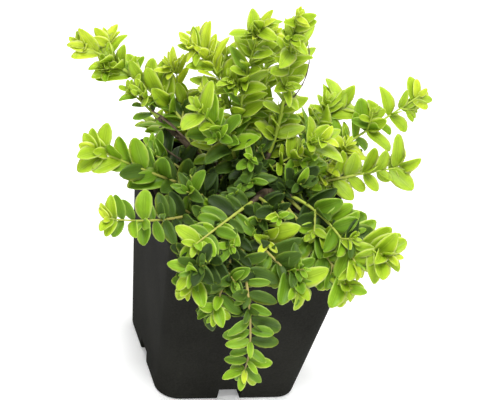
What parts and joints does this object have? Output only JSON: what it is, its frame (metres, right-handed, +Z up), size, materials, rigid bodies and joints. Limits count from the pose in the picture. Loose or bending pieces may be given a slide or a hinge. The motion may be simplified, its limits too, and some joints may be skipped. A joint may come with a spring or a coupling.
{
  "type": "potted box honeysuckle shrub",
  "caption": "Young box honeysuckle in a square tapered nursery pot: arching shoots with opposite pairs of small oval leaves, some hanging over the front rim.",
  "frame": {"origin": "centre of the pot's flat underside", "axes": "+Z up, along the pot's axis; -Y towards the pot's front, the side that the long hanging shoot falls over; +X to the right as seen from the front"},
  "size_m": [0.173, 0.1575, 0.2021],
  "materials": {
    "pot_plastic": "fine matt black",
    "potting_soil": "rough dark compost",
    "bark": "thin smooth brown bark",
    "leaves": "soft gloss, yellow-green at the tips"
  },
  "bodies": {
    "root": {"bough_across": "bark", "bough_back": "bark", "bough_back_left": "bark", "bough_back_low": "bark", "bough_back_right": "bark", "bough_front_hanging": "bark", "bough_front_right": "bark", "bough_leader": "bark", "bough_left_level": "bark", "bough_left_upper": "bark", "bough_right_level": "bark", "bough_right_long": "bark", "bough_upper_left": "bark", "bough_upper_middle": "bark", "mass_across": "leaves", "mass_back": "leaves", "mass_back_left": "leaves", "mass_back_left_over": "leaves", "mass_back_left_tip": "leaves", "mass_back_left_under": "leaves", "mass_back_left_upright": "leaves", "mass_back_low": "leaves", "mass_back_right": "leaves", "mass_back_right_low": "leaves", "mass_front_hanging": "leaves", "mass_front_left_corner": "leaves", "mass_front_left_hanging": "leaves", "mass_front_left_low": "leaves", "mass_front_low": "leaves", "mass_front_middle": "leaves", "mass_front_right": "leaves", "mass_front_right_low": "leaves", "mass_inner_front": "leaves", "mass_inner_left": "leaves", "mass_inner_low_left": "leaves", "mass_inner_low_right": "leaves", "mass_inner_middle": "leaves", "mass_inner_right": "leaves", "mass_leader": "leaves", "mass_left_inner": "leaves", "mass_left_level": "leaves", "mass_left_upper": "leaves", "mass_right_corner": "leaves", "mass_right_inner": "leaves", "mass_right_level": "leaves", "mass_right_long": "leaves", "mass_right_lower": "leaves", "mass_right_rosette": "leaves", "mass_right_upright": "leaves", "mass_upper_back": "leaves", "mass_upper_left": "leaves", "mass_upper_middle": "leaves", "mass_upper_right_back": "leaves", "pot": "pot_plastic", "soil": "potting_soil", "stem": "bark"}
  },
  "joints": []
}
